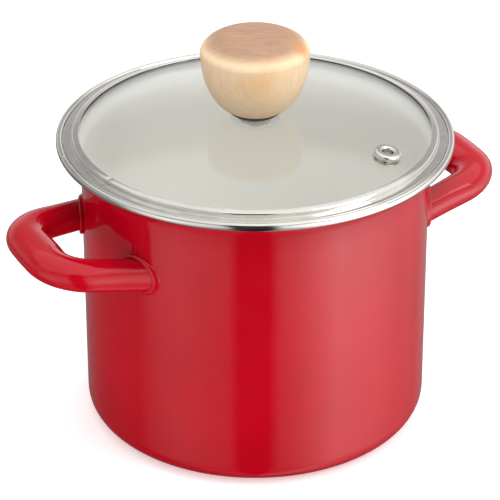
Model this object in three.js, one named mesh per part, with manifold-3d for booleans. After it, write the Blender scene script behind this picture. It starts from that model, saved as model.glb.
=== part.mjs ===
// A household enamelled steel stock pot with a vented glass lid and a turned wooden knob.
// Millimetres, +Z up. The origin is the middle of the flat base ring, on the surface the pot stands on.
// The two handles lie along X; the lid, glass and knob share the Z axis.

import * as THREE from 'three';
import { mergeVertices } from 'three/addons/utils/BufferGeometryUtils.js';
import Module from 'manifold-3d';

const wasm = await Module();
wasm.setup();

// ---------------------------------------------------------------- driving dimensions

const GAP = 0.3; // clearance kept between touching pieces
const TURNS = 48; // facets round the large turned pieces
const SMALL_TURNS = 20; // facets round the small turned pieces
const ARC_STEPS = 4; // facets in a quarter-round of a large profile

// pot
const BODY_R = 81; // outside of the straight wall
const BODY_T = 0.8; // steel with its outer enamel
const CORNER_R = 10.7; // outside radius between base and wall
const BASE_RING_R = 60; // inner radius of the flat ring the pot stands on
const BASE_RECESS = 0.7; // how far the middle of the base is pressed up
const LINING_T = 0.3; // ivory enamel lining
const MOUTH_R = 9.5; // radius of the outward flare at the mouth
const LEDGE_Z = 139.75; // underside of the flared edge

// stainless ring rolled over the flared edge
const RIM_TOP_Z = 143;
const RIM_OUTER_R = 92.1;
const RIM_H = 3.9;
const RIM_W = 3.0;
const RIM_SHEET = 0.35;
const SEAM_W = 0.35; // butt seam of a rolled ring
const RIM_SEAM_DEG = 170;
const LID_SEAM_DEG = 192;

// lid
const GLASS_R = 84.1;
const GLASS_T = 3.2;
const GLASS_EDGE_TOP_Z = 144;
const DOME_RISE = 9.5; // from the glass edge to the middle
const BAND_SHEET = 0.4;
const BAND_LIP_R = 81.6; // inner edge of the lip crimped over the glass
const FLANGE_R = 88.8; // outer edge of the flange that rests on the ledge
const FLANGE_Z = 142.25; // top of that edge
const FLANGE_T = 0.8; // folded double
const LIFT_HOLE_R = 4.6; // hole for the knob's screw

// steam vent
const VENT_RADIUS = 68;
const VENT_DEG = -56;
const VENT_HOLE_R = 4.2;
const VENT_BORE_R = 2.5;
const VENT_OUTER_R = 6.3;
const VENT_PROUD = 2.4;

// knob and its fixing
const KNOB_R = 25.2;
const KNOB_H = 35.4;
const KNOB_FOOT_R = 11.2;
const KNOB_FLARE = [[14, 1], [17.8, 4.2], [21.1, 9.6], [23.6, 15.9], [24.7, 22.3]]; // radius, height
const KNOB_TOP_R = 13.7; // flat part of the crown
const KNOB_CROWN_H = 7.1;
const KNOB_CROWN_POWER = 1.18; // 1 is an ellipse, 2 a straight chamfer
const GASKET_R = 11.8;
const GASKET_T = 1.3;
const SCREW_R = 2.5;
const SCREW_HEAD_R = 4.6;
const SCREW_HEAD_H = 2.6;
const INSERT_R = 4.4;
const INSERT_L = 14;

// handles
const HANDLE_REACH = 109.9; // from the pot's axis to the middle of the grip
const HANDLE_FOOT_DEG = 24; // half the angle between one handle's two feet
const HANDLE_SPLAY_DEG = 13.9; // how much each arm leans in towards the grip
const HANDLE_BEND_R = 19.1; // bend between arm and grip, on the centreline
const HANDLE_FOOT_Z = 101.9; // centreline height where the arm meets the wall
const HANDLE_RISE = 0.11; // rise of the handle's plane per millimetre outwards
const FOOT_H = 15; // section at the wall, across the handle's plane
const FOOT_W = 13.7; // section at the wall, in the handle's plane
const GRIP_H = 14.8;
const GRIP_W = 20.9;
const TUBE_WALL = 1.4;
const COLLAR_LIP = 2; // how far the welded foot stands out round the arm
const COLLAR_T = 1.8;

// ---------------------------------------------------------------- geometry helpers

const rad = THREE.MathUtils.degToRad;

// Joins shared corners and drops the slivers that collapse on an axis.
function tidy(geometry) {
  const bare = new THREE.BufferGeometry();
  bare.setAttribute('position', geometry.getAttribute('position').clone());
  if (geometry.index) bare.setIndex(geometry.index.clone());
  const merged = mergeVertices(bare, 1e-4);
  const kept = [];
  for (let i = 0; i < merged.index.count; i += 3) {
    const [a, b, c] = [0, 1, 2].map((k) => merged.index.getX(i + k));
    if (a !== b && b !== c && c !== a) kept.push(a, b, c);
  }
  merged.setIndex(kept);
  return merged;
}

function toSolid(geometry) {
  const closed = tidy(geometry);
  return new wasm.Manifold(new wasm.Mesh({
    numProp: 3,
    vertProperties: Float32Array.from(closed.getAttribute('position').array),
    triVerts: Uint32Array.from(closed.index.array),
  }));
}

function fromSolid(solid) {
  const mesh = solid.getMesh();
  const geometry = new THREE.BufferGeometry();
  geometry.setAttribute('position', new THREE.BufferAttribute(Float32Array.from(mesh.vertProperties), 3));
  geometry.setIndex(Array.from(mesh.triVerts));
  return geometry;
}

// A turned piece from [radius, height] points, anticlockwise. It closes on itself or on the axis.
function turned(points, turns = TURNS) {
  const profile = points.map(([r, z]) => new THREE.Vector2(r, z));
  const onAxis = points[0][0] === 0 && points[points.length - 1][0] === 0;
  if (!onAxis) profile.push(profile[0].clone());
  const geometry = new THREE.LatheGeometry(profile, turns);
  geometry.rotateX(Math.PI / 2);
  return tidy(geometry);
}

// Points of an arc in the profile plane, both ends included.
function arc(r, z, radius, fromDeg, toDeg, steps = ARC_STEPS) {
  return Array.from({ length: steps + 1 }, (_, i) => {
    const angle = rad(fromDeg + ((toDeg - fromDeg) * i) / steps);
    return [r + radius * Math.cos(angle), z + radius * Math.sin(angle)];
  });
}

// A closed skin over a loop of rings of equal point count: the last ring joins the first.
function skin(rings) {
  const count = rings[0].length;
  const positions = rings.flat().flatMap((p) => [p.x, p.y, p.z]);
  const index = [];
  for (let j = 0; j < rings.length; j += 1) {
    const next = ((j + 1) % rings.length) - j;
    for (let i = 0; i < count; i += 1) {
      const a = j * count + i;
      const b = j * count + ((i + 1) % count);
      index.push(a, b + next * count, b, a, a + next * count, b + next * count);
    }
  }
  const geometry = new THREE.BufferGeometry();
  geometry.setAttribute('position', new THREE.Float32BufferAttribute(positions, 3));
  geometry.setIndex(index);
  return geometry;
}

function cylinder(radius, bottomZ, topZ, turns = TURNS) {
  return turned([[0, bottomZ], [radius, bottomZ], [radius, topZ], [0, topZ]], turns);
}

const group = new THREE.Group();

function add(name, geometry, color, roughness, metalness) {
  const material = new THREE.MeshStandardMaterial({ color, roughness, metalness });
  const mesh = new THREE.Mesh(geometry, material);
  mesh.name = name;
  group.add(mesh);
  return mesh;
}

const redEnamel = [0xc5101f, 0.15, 0.0];
const ivoryEnamel = [0xe9e7dc, 0.25, 0.0];
const stainless = [0xc9c8c4, 0.18, 1.0];
const clearGlass = [0xdfe8e4, 0.05, 0.0];
const wood = [0xdcb48a, 0.55, 0.0];
const brass = [0xb08d4a, 0.35, 1.0];
const darkRubber = [0x3a3430, 0.7, 0.0];
const clearSilicone = [0xd9d8d2, 0.5, 0.0];

// ---------------------------------------------------------------- pot body and lining

const wallTopZ = LEDGE_Z - MOUTH_R;
const edgeR = RIM_OUTER_R - RIM_SHEET - GAP;

// The shell from its outer surface moved inwards: 0 is the outside itself.
// The flare ends at radius endR.
function shellCurve(inset, endR) {
  const flareR = MOUTH_R + inset;
  const centreR = BODY_R + MOUTH_R;
  const endDeg = THREE.MathUtils.radToDeg(Math.acos((Math.min(endR, centreR) - centreR) / flareR));
  return {
    corner: arc(BODY_R - CORNER_R, CORNER_R, CORNER_R - inset, -90, 0, ARC_STEPS + 1),
    flare: arc(centreR, wallTopZ, flareR, 180, endDeg),
    floorZ: inset,
  };
}

function potBody() {
  const outside = shellCurve(0, edgeR);
  const inside = shellCurve(BODY_T, edgeR);
  return turned([
    [0, BASE_RECESS],
    [BASE_RING_R - 2, BASE_RECESS],
    [BASE_RING_R, 0],
    ...outside.corner,
    ...outside.flare,
    [edgeR, LEDGE_Z],
    [edgeR, LEDGE_Z + BODY_T],
    ...inside.flare.reverse(),
    ...inside.corner.reverse(),
    [BASE_RING_R, inside.floorZ],
    [BASE_RING_R - 2, inside.floorZ + BASE_RECESS],
    [0, inside.floorZ + BASE_RECESS],
  ]);
}

function lining() {
  const endR = RIM_OUTER_R - RIM_W - GAP;
  const outside = shellCurve(BODY_T + GAP, endR);
  const inside = shellCurve(BODY_T + GAP + LINING_T, endR);
  return turned([
    [0, outside.floorZ + BASE_RECESS],
    [BASE_RING_R - 2, outside.floorZ + BASE_RECESS],
    [BASE_RING_R, outside.floorZ],
    ...outside.corner,
    ...outside.flare,
    ...inside.flare.reverse(),
    ...inside.corner.reverse(),
    [BASE_RING_R, inside.floorZ],
    [BASE_RING_R - 2, inside.floorZ + BASE_RECESS],
    [0, inside.floorZ + BASE_RECESS],
  ]);
}

// ---------------------------------------------------------------- rolled rings

// Opens the butt seam of a rolled ring.
function withSeam(geometry, degrees, radius, height) {
  const cutter = new THREE.BoxGeometry(20, SEAM_W, 20);
  cutter.translate(radius, 0, height);
  cutter.rotateZ(rad(degrees));
  return fromSolid(toSolid(geometry).subtract(toSolid(cutter)));
}

function rimBand() {
  const innerR = RIM_OUTER_R - RIM_W;
  const round = RIM_W / 2;
  const midR = RIM_OUTER_R - round;
  const lowZ = RIM_TOP_Z - RIM_H;
  const slotLowZ = LEDGE_Z - GAP;
  const slotTopZ = LEDGE_Z + BODY_T + GAP;
  const innerRound = round - RIM_SHEET;
  const ring = turned([
    [innerR, slotLowZ - RIM_SHEET],
    ...arc(midR, lowZ + round, round, -60, 0, 2),
    ...arc(midR, RIM_TOP_Z - round, round, 0, 180, 6),
    [innerR, slotTopZ],
    [innerR + RIM_SHEET, slotTopZ],
    ...arc(midR, RIM_TOP_Z - round, innerRound, 180, 0, 4),
    [midR + innerRound, slotLowZ],
    [innerR, slotLowZ],
  ]);
  return withSeam(ring, RIM_SEAM_DEG, midR, RIM_TOP_Z);
}

// ---------------------------------------------------------------- glass lid

const domeRadius = (GLASS_R * GLASS_R + DOME_RISE * DOME_RISE) / (2 * DOME_RISE);
const domeCentreZ = GLASS_EDGE_TOP_Z + DOME_RISE - domeRadius;
const glassTopZ = (r) => domeCentreZ + Math.sqrt(domeRadius * domeRadius - r * r);
const glassBottomZ = (r) => glassTopZ(r) - GLASS_T;
const bandWallR = GLASS_R + GAP;
const bandOuterR = bandWallR + BAND_SHEET;
const bandTopZ = GLASS_EDGE_TOP_Z + GAP + BAND_SHEET;
const bandWebZ = GLASS_EDGE_TOP_Z - GLASS_T - GAP;

const ventX = VENT_RADIUS * Math.cos(rad(VENT_DEG));
const ventY = VENT_RADIUS * Math.sin(rad(VENT_DEG));
const ventTopZ = glassTopZ(VENT_RADIUS);
const ventTilt = Math.asin(VENT_RADIUS / domeRadius);

// Turns a piece made upright on the axis so that it stands square on the dome at the vent.
function placeAtVent(geometry) {
  geometry.rotateY(ventTilt);
  geometry.rotateZ(rad(VENT_DEG));
  geometry.translate(ventX, ventY, ventTopZ);
  return geometry;
}

function lidGlass() {
  const radii = [0, 0.2, 0.4, 0.6, 0.8, 0.95].map((part) => part * GLASS_R);
  const bevel = 0.5;
  const top = radii.map((r) => [r, glassTopZ(r)]).reverse();
  const bottom = radii.map((r) => [r, glassBottomZ(r)]);
  const disc = turned([
    ...bottom,
    [GLASS_R - bevel, GLASS_EDGE_TOP_Z - GLASS_T],
    [GLASS_R, GLASS_EDGE_TOP_Z - GLASS_T + bevel],
    [GLASS_R, GLASS_EDGE_TOP_Z - bevel],
    [GLASS_R - bevel, GLASS_EDGE_TOP_Z],
    ...top,
  ]);
  const screwHole = cylinder(LIFT_HOLE_R, GLASS_EDGE_TOP_Z, GLASS_EDGE_TOP_Z + 20, SMALL_TURNS);
  const ventHole = placeAtVent(cylinder(VENT_HOLE_R, -10, 10, SMALL_TURNS));
  return fromSolid(toSolid(disc).subtract(toSolid(screwHole)).subtract(toSolid(ventHole)));
}

function lidBand() {
  const fold = FLANGE_T / 3;
  const lipLowZ = glassTopZ(BAND_LIP_R) + GAP;
  const ring = turned([
    [BAND_LIP_R, bandWebZ - BAND_SHEET],
    [bandOuterR, bandWebZ - BAND_SHEET],
    [bandOuterR, FLANGE_Z - FLANGE_T],
    [FLANGE_R - fold, FLANGE_Z - FLANGE_T],
    [FLANGE_R, FLANGE_Z - FLANGE_T + fold],
    [FLANGE_R, FLANGE_Z - fold],
    [FLANGE_R - fold, FLANGE_Z],
    [bandOuterR, FLANGE_Z],
    [bandOuterR, bandTopZ - 0.6],
    [bandOuterR - 0.6, bandTopZ],
    [BAND_LIP_R, lipLowZ + BAND_SHEET],
    [BAND_LIP_R, lipLowZ],
    [bandWallR, bandTopZ - BAND_SHEET],
    [bandWallR, bandWebZ],
    [BAND_LIP_R, bandWebZ],
  ]);
  return withSeam(ring, LID_SEAM_DEG, bandOuterR, bandTopZ);
}

// A rolled eyelet: a domed collar on the glass and a barrel clinched below it.
function ventEyelet() {
  const barrelR = VENT_HOLE_R - GAP;
  const barrelEndZ = -GLASS_T - GAP - 1.4;
  const eyelet = turned([
    [VENT_BORE_R, barrelEndZ],
    [barrelR, barrelEndZ],
    [barrelR, GAP],
    [VENT_OUTER_R, GAP],
    ...arc(VENT_OUTER_R - 1.1, VENT_PROUD - 1.1, 1.1, 0, 90, 3),
    ...arc(VENT_BORE_R + 1.2, VENT_PROUD - 1.2, 1.2, 90, 180, 3),
  ], SMALL_TURNS);
  return placeAtVent(eyelet);
}

function ventWasher() {
  const holeR = VENT_HOLE_R;
  const topZ = -GLASS_T - GAP;
  const washer = turned([
    [holeR, topZ - 0.6],
    [holeR + 2.2, topZ - 0.6],
    [holeR + 2.2, topZ],
    [holeR, topZ],
  ], SMALL_TURNS);
  return placeAtVent(washer);
}

// ---------------------------------------------------------------- knob and its fixing

const glassMidTopZ = glassTopZ(0);
const glassMidBottomZ = glassMidTopZ - GLASS_T;
const gasketZ = glassMidTopZ + GAP;
const knobZ = gasketZ + GASKET_T + GAP;

// The rounded shoulder of the crown, from the widest point up to the flat top.
function knobCrown(steps) {
  return Array.from({ length: steps + 1 }, (_, i) => {
    const angle = (Math.PI / 2) * (i / steps);
    const out = Math.abs(Math.cos(angle)) ** KNOB_CROWN_POWER;
    const up = Math.sin(angle) ** KNOB_CROWN_POWER;
    const r = KNOB_TOP_R + (KNOB_R - KNOB_TOP_R) * out;
    return [r, knobZ + KNOB_H - KNOB_CROWN_H * (1 - up)];
  });
}

function knob() {
  const boreR = INSERT_R + GAP;
  const boreTopZ = knobZ + INSERT_L + 4;
  return turned([
    [boreR, knobZ],
    [KNOB_FOOT_R, knobZ],
    ...KNOB_FLARE.map(([r, up]) => [r, knobZ + up]),
    ...knobCrown(5),
    [0, knobZ + KNOB_H],
    [0, boreTopZ],
    [boreR, boreTopZ - 1],
  ], 36);
}

function ringSolid(innerR, outerR, bottomZ, topZ) {
  return turned([[innerR, bottomZ], [outerR, bottomZ], [outerR, topZ], [innerR, topZ]], SMALL_TURNS);
}

const underZ = glassMidBottomZ - GAP;
const sealT = 1.2;
const washerT = 1.0;
const washerZ = underZ - sealT - GAP;
const headTopZ = washerZ - washerT - GAP;

// A pan-head screw with a cross recess, driven up through the glass into the knob's insert.
function knobScrew() {
  const headZ = headTopZ - SCREW_HEAD_H;
  const shankTopZ = knobZ + INSERT_L - 1;
  const body = turned([
    [0, headZ],
    [SCREW_HEAD_R - 1.4, headZ],
    [SCREW_HEAD_R, headZ + 1.3],
    [SCREW_HEAD_R, headTopZ],
    [SCREW_R, headTopZ],
    [SCREW_R, shankTopZ - 0.6],
    [SCREW_R - 0.6, shankTopZ],
    [0, shankTopZ],
  ], SMALL_TURNS);
  let screw = toSolid(body);
  for (const quarter of [0, 1]) {
    const slot = new THREE.BoxGeometry(5, 0.9, 2.8);
    slot.rotateZ((quarter * Math.PI) / 2);
    slot.translate(0, 0, headZ);
    screw = screw.subtract(toSolid(slot));
  }
  return fromSolid(screw);
}

// ---------------------------------------------------------------- handles

const planeTilt = Math.atan(HANDLE_RISE);

// Plan of one handle's centreline, for the handle on +X: foot, arm, bend, grip, bend, arm, foot.
function handlePlan() {
  const foot = rad(HANDLE_FOOT_DEG);
  const splay = rad(HANDLE_SPLAY_DEG);
  const start = new THREE.Vector2(BODY_R * Math.cos(foot), -BODY_R * Math.sin(foot));
  const cornerY = start.y + (HANDLE_REACH - start.x) * Math.tan(splay);
  const turn = Math.PI / 2 - splay;
  const tangent = HANDLE_BEND_R * Math.tan(turn / 2);
  const bendX = HANDLE_REACH - HANDLE_BEND_R;
  const bendY = cornerY + tangent;
  const plan = new THREE.Path();
  plan.moveTo(start.x, start.y);
  plan.lineTo(HANDLE_REACH - tangent * Math.cos(splay), cornerY - tangent * Math.sin(splay));
  plan.absarc(bendX, bendY, HANDLE_BEND_R, -turn, 0, false);
  plan.lineTo(HANDLE_REACH, -bendY);
  plan.absarc(bendX, -bendY, HANDLE_BEND_R, 0, turn, false);
  plan.lineTo(start.x, -start.y);
  return plan;
}

const plan = handlePlan();
const handleUp = new THREE.Vector3(-Math.sin(planeTilt), 0, Math.cos(planeTilt));
const HANDLE_STEPS = 24;
const HANDLE_SIDES = 14;
const FOOT_CLEAR = 0.08; // part of the length at each end that is cut to the wall instead

function handleDirection(s) {
  const t = plan.getTangentAt(s);
  return new THREE.Vector3(t.x, t.y, HANDLE_RISE * t.x).normalize();
}

// The oval section at a part of the length, grown or shrunk by a margin.
function handleRing(s, grow) {
  const p = plan.getPointAt(s);
  const footX = BODY_R * Math.cos(rad(HANDLE_FOOT_DEG));
  const centre = new THREE.Vector3(p.x, p.y, HANDLE_FOOT_Z + HANDLE_RISE * (p.x - footX));
  const side = new THREE.Vector3().crossVectors(handleDirection(s), handleUp).normalize();
  const grip = THREE.MathUtils.smoothstep(1 - Math.abs(2 * s - 1), 0, 1);
  const halfW = THREE.MathUtils.lerp(FOOT_W, GRIP_W, grip) / 2 + grow;
  const halfH = THREE.MathUtils.lerp(FOOT_H, GRIP_H, grip) / 2 + grow;
  return Array.from({ length: HANDLE_SIDES }, (_, i) => {
    const angle = (2 * Math.PI * i) / HANDLE_SIDES;
    return centre.clone()
      .addScaledVector(side, halfW * Math.cos(angle))
      .addScaledVector(handleUp, halfH * Math.sin(angle));
  });
}

// The end section slid along the arm until each point lies on a cylinder about the pot's axis.
function ringOnWall(s, grow, radius) {
  const along = handleDirection(s);
  return handleRing(s, grow).map((p) => {
    const a = along.x * along.x + along.y * along.y;
    const b = p.x * along.x + p.y * along.y;
    const c = p.x * p.x + p.y * p.y - radius * radius;
    const outward = Math.sign(along.x) * Math.sqrt(b * b - a * c);
    return p.addScaledVector(along, (outward - b) / a);
  });
}

// One side of the tube, from foot to foot.
function tubeRings(grow) {
  const middle = Array.from({ length: HANDLE_STEPS + 1 }, (_, j) => (
    handleRing(THREE.MathUtils.lerp(FOOT_CLEAR, 1 - FOOT_CLEAR, j / HANDLE_STEPS), grow)
  ));
  return [ringOnWall(0, grow, BODY_R + GAP), ...middle, ringOnWall(1, grow, BODY_R + GAP)];
}

// A hollow formed tube: the bore runs right through and both ends face the wall.
function handle(turnDeg) {
  const tube = skin([...tubeRings(0), ...tubeRings(-TUBE_WALL).reverse()]);
  return tube.rotateZ(rad(turnDeg));
}

// The arm's outline where it crosses a cylinder about the pot's axis, spread on it by a margin.
function spreadOnWall(s, margin, radius) {
  const flat = ringOnWall(s, 0, radius).map((p) => new THREE.Vector2(radius * Math.atan2(p.y, p.x), p.z));
  const turn = Math.sign(THREE.ShapeUtils.area(flat));
  return flat.map((q, i) => {
    const before = flat[(i + flat.length - 1) % flat.length];
    const after = flat[(i + 1) % flat.length];
    const way = after.clone().sub(before).normalize();
    const angle = (q.x + turn * margin * way.y) / radius;
    return new THREE.Vector3(radius * Math.cos(angle), radius * Math.sin(angle), q.y - turn * margin * way.x);
  });
}

// The flared foot welded to the wall round one arm end, the end at length 0 or 1.
function handleFoot(turnDeg, end) {
  const wallR = BODY_R + GAP;
  const rings = [
    spreadOnWall(end, COLLAR_LIP, wallR),
    spreadOnWall(end, COLLAR_LIP - 0.3, wallR + COLLAR_T * 0.5),
    spreadOnWall(end, COLLAR_LIP - 1.1, wallR + COLLAR_T),
    spreadOnWall(end, GAP, wallR + COLLAR_T),
    spreadOnWall(end, GAP, wallR),
  ];
  if (end === 1) rings.reverse();
  return skin(rings).rotateZ(rad(turnDeg));
}

// ---------------------------------------------------------------- assembly

add('pot_body', potBody(), ...redEnamel);
add('enamel_lining', lining(), ...ivoryEnamel);
add('rim_band', rimBand(), ...stainless);

for (const [name, turnDeg] of [['right', 0], ['left', 180]]) {
  add(`handle_${name}`, handle(turnDeg), ...redEnamel);
  for (const [place, end] of [['front', 0], ['back', 1]]) {
    const turnedEnd = turnDeg === 180 ? 1 - end : end;
    add(`handle_${name}_foot_${place}`, handleFoot(turnDeg, turnedEnd), ...redEnamel);
  }
}

add('lid_glass', lidGlass(), ...clearGlass);
add('lid_band', lidBand(), ...stainless);
add('vent_eyelet', ventEyelet(), ...stainless);
add('vent_washer', ventWasher(), ...stainless);

add('knob', knob(), ...wood);
add('knob_insert', ringSolid(SCREW_R + GAP, INSERT_R, knobZ + 0.5, knobZ + INSERT_L), ...brass);
add('knob_gasket', ringSolid(SCREW_R + GAP, GASKET_R, gasketZ, gasketZ + GASKET_T), ...darkRubber);
const bushBottomZ = glassMidBottomZ + 0.2;
const bushTopZ = glassMidTopZ - 0.1;
add('screw_bush', ringSolid(SCREW_R + GAP, LIFT_HOLE_R - GAP, bushBottomZ, bushTopZ), ...clearSilicone);
add('under_gasket', ringSolid(SCREW_R + GAP, 8.5, underZ - sealT, underZ), ...clearSilicone);
add('backing_washer', ringSolid(SCREW_R + GAP, 7.5, washerZ - washerT, washerZ), ...stainless);
add('knob_screw', knobScrew(), ...stainless);

export default group;
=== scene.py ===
# A household enamelled stock pot with a vented glass lid and a turned wooden knob.
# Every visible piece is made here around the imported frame. Lengths are millimetres about the
# pot's axis, and a mesh is scaled to metres as it is made. Angles are degrees.
import math

import bmesh
import bpy
from mathutils import Matrix, Vector


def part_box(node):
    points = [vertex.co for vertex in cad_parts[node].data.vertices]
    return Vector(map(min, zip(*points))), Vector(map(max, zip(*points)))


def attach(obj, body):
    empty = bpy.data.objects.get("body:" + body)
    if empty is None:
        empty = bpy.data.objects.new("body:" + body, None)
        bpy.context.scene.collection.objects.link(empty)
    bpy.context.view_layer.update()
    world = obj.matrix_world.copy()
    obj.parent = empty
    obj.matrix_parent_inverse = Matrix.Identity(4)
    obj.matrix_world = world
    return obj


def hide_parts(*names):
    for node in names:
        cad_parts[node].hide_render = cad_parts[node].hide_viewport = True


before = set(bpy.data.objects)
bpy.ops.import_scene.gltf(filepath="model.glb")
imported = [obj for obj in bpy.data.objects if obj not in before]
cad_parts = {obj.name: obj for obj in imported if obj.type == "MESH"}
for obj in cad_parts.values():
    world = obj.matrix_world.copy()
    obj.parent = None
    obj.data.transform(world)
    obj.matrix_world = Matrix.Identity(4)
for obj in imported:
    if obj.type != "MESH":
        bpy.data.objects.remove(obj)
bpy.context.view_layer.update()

MM = 0.001
rad = math.radians


def box_mm(node):
    low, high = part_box(node)
    return low / MM, high / MM


# ---------------------------------------------------------------- dimensions

CONTACT = 0.02  # left between pieces that touch

rim_low, rim_high = box_mm("rim_band")
body_high = box_mm("pot_body")[1]
glass_low, glass_high = box_mm("lid_glass")
knob_high = box_mm("knob")[1]
gasket_high = box_mm("knob_gasket")[1]
screw_low, screw_high = box_mm("knob_screw")

# pot
BODY_R = 81.0  # outside of the straight wall
BODY_T = 0.8
LINING_T = 0.4
CORNER_R = 10.7  # outside radius between base and wall
BASE_RING_R = 60.0
BASE_RECESS = 0.7
MOUTH_R = 9.5  # radius of the outward flare at the mouth
LEDGE_Z = body_high.z - BODY_T  # underside of the flared edge

# rolled ring on the flared edge
RIM_TOP_Z = rim_high.z
RIM_LOW_Z = rim_low.z
RIM_OUTER_R = rim_high.x
RIM_W = 3.0
RIM_SHEET = 0.35
SEAM_GAP = 0.22
SEAM_EASE_DEG = 0.35  # over which a ring's end is drawn in
RIM_SEAM_DEG = 170
LID_SEAM_DEG = 192

# lid
GLASS_R = glass_high.x
GLASS_T = 3.2
GLASS_EDGE_TOP_Z = glass_low.z + GLASS_T
DOME_RISE = 9.5
BAND_SHEET = 0.4
BAND_LIP_R = 81.6
LIP_RISE = 1.0  # from the glass edge to the top of the crimped lip
FLANGE_R = 88.8
FLANGE_Z = 142.25
SCREW_HOLE_R = 4.6

# steam vent
VENT_RADIUS = 68.0
VENT_DEG = -56.0
VENT_HOLE_R = 4.2
VENT_BORE_R = 2.5
VENT_OUTER_R = 6.3
VENT_PROUD = 2.4

# handles
HANDLE_REACH = 109.9
HANDLE_FOOT_DEG = 24.0
HANDLE_SPLAY_DEG = 13.9
HANDLE_BEND_R = 19.1
HANDLE_FOOT_Z = 101.9
HANDLE_RISE = 0.11
FOOT_H = 15.0
FOOT_W = 13.7
GRIP_H = 14.8
GRIP_W = 20.9
COLLAR_LIP = 2.0  # width of the welded foot beyond the arm
COLLAR_T = 1.8
FOOT_SHARE = 0.08  # of the handle's length, blended into the wall at each end
WELD_GAP = 0.01

# knob
KNOB_FOOT_R = 11.2
KNOB_FLARE = [(14.0, 1.0), (17.8, 4.2), (21.1, 9.6), (23.6, 15.9), (24.7, 22.3)]  # radius, height
KNOB_TOP_R = 13.7  # flat part of the crown
KNOB_CROWN_H = 7.1
KNOB_CROWN_POWER = 1.18  # 1 is an ellipse, 2 a straight chamfer
KNOB_BORE_R = 4.6
KNOB_BORE_DEPTH = 18.0

# the knob's screw and threaded insert
SCREW_R = 2.5
SCREW_TIP_R = 1.8
SCREW_CLEAR_R = 2.62  # hole of the insert, the bush and the washers
SCREW_PITCH = 0.8
SCREW_THREAD = 0.22
HEAD_H = 2.6
INSERT_PITCH = 1.6
INSERT_THREAD = 0.35

# camera
CAMERA_AZIMUTH = -26.7
CAMERA_ELEVATION = 28.735
CAMERA_DISTANCE = 1237.6
CAMERA_AIM_Z = 80.3
CAMERA_LENS = 188.1
CAMERA_SHIFT_X = -0.0103

LARGE_TURNS = 240
SMALL_TURNS = 96
THREAD_TURNS = 48
ARC_STEPS = 10
SHARP_DEG = 38  # faces that meet at more than this show an edge
THREAD_SHARP_DEG = 50
MERGE_DISTANCE = 1e-7  # metres


# ---------------------------------------------------------------- mesh helpers

def arc(r, z, radius, from_deg, to_deg, steps=ARC_STEPS):
    """Points of an arc in the profile plane, both ends included."""
    points = []
    for i in range(steps + 1):
        angle = rad(from_deg + (to_deg - from_deg) * i / steps)
        points.append((r + radius * math.cos(angle), z + radius * math.sin(angle)))
    return points


def rounded(points, radius, steps=5):
    """A closed profile with each corner turned into a small round."""
    result = []
    count = len(points)
    for i, corner in enumerate(points):
        here = Vector(corner)
        before = Vector(points[i - 1]) - here
        after = Vector(points[(i + 1) % count]) - here
        reach = min(radius, before.length * 0.45, after.length * 0.45)
        start = here + before.normalized() * reach
        end = here + after.normalized() * reach
        for k in range(steps + 1):
            t = k / steps
            result.append(tuple(start * (1 - t) ** 2 + here * 2 * t * (1 - t) + end * t * t))
    return result


def grid_mesh(name, rings, ring_closed=True, rows_closed=False, capped=False,
              sharp=SHARP_DEG):
    """A mesh over rings of equal point count, given in millimetres."""
    count = len(rings[0])
    vertices = [tuple(Vector(p) * MM) for ring in rings for p in ring]
    faces = []
    rows = len(rings) if rows_closed else len(rings) - 1
    for j in range(rows):
        here = j * count
        there = ((j + 1) % len(rings)) * count
        for i in range(count if ring_closed else count - 1):
            k = (i + 1) % count
            faces.append((here + i, here + k, there + k, there + i))
    if capped:
        last = (len(rings) - 1) * count
        faces.append(tuple(range(count))[::-1])
        faces.append(tuple(range(last, last + count)))
    mesh = bpy.data.meshes.new(name)
    mesh.from_pydata(vertices, [], faces)
    clean_mesh(mesh)
    mesh.shade_smooth()
    mesh.set_sharp_from_angle(angle=rad(sharp))
    return mesh


def clean_mesh(mesh):
    """Joins points that meet on the axis and turns every face outwards."""
    bm = bmesh.new()
    bm.from_mesh(mesh)
    bmesh.ops.remove_doubles(bm, verts=bm.verts, dist=MERGE_DISTANCE)
    bmesh.ops.recalc_face_normals(bm, faces=bm.faces)
    bm.to_mesh(mesh)
    bm.free()


def ring_at(profile, angle_deg):
    """The profile's [radius, height] points at one angle round the Z axis."""
    angle = rad(angle_deg)
    return [(r * math.cos(angle), r * math.sin(angle), z) for r, z in profile]


def turned_rings(profile, turns, from_deg=0.0, to_deg=360.0, closed=True):
    """The profile carried round the Z axis."""
    steps = turns if closed else turns + 1
    return [ring_at(profile, from_deg + (to_deg - from_deg) * j / turns) for j in range(steps)]


def turned(name, profile, turns=LARGE_TURNS):
    """A turned piece. The profile closes on itself, or both its ends are on the axis."""
    on_axis = profile[0][0] == 0 and profile[-1][0] == 0
    rings = turned_rings(profile, turns)
    return grid_mesh(name, rings, ring_closed=not on_axis, rows_closed=True)


def drawn_in(profile, shrink):
    """The profile made smaller about its middle."""
    middle_r = sum(r for r, _ in profile) / len(profile)
    middle_z = sum(z for _, z in profile) / len(profile)
    return [(middle_r + (r - middle_r) * shrink, middle_z + (z - middle_z) * shrink)
            for r, z in profile]


def butted_ring(name, profile, seam_deg):
    """A rolled ring whose two ends meet at a seam, each end slightly drawn in."""
    half_gap = math.degrees(SEAM_GAP / 2 / max(r for r, _ in profile))
    last = half_gap + SEAM_EASE_DEG
    ends = [(half_gap, 0.94), (half_gap + 0.08, 0.98), (last, 1.0)]  # degrees off the seam, size
    rings = [ring_at(drawn_in(profile, size), seam_deg + off) for off, size in ends]
    rings += turned_rings(profile, LARGE_TURNS, seam_deg + last, seam_deg + 360 - last, False)[1:]
    rings += [ring_at(drawn_in(profile, size), seam_deg + 360 - off) for off, size in ends[1::-1]]
    return grid_mesh(name, rings, capped=True)


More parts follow.
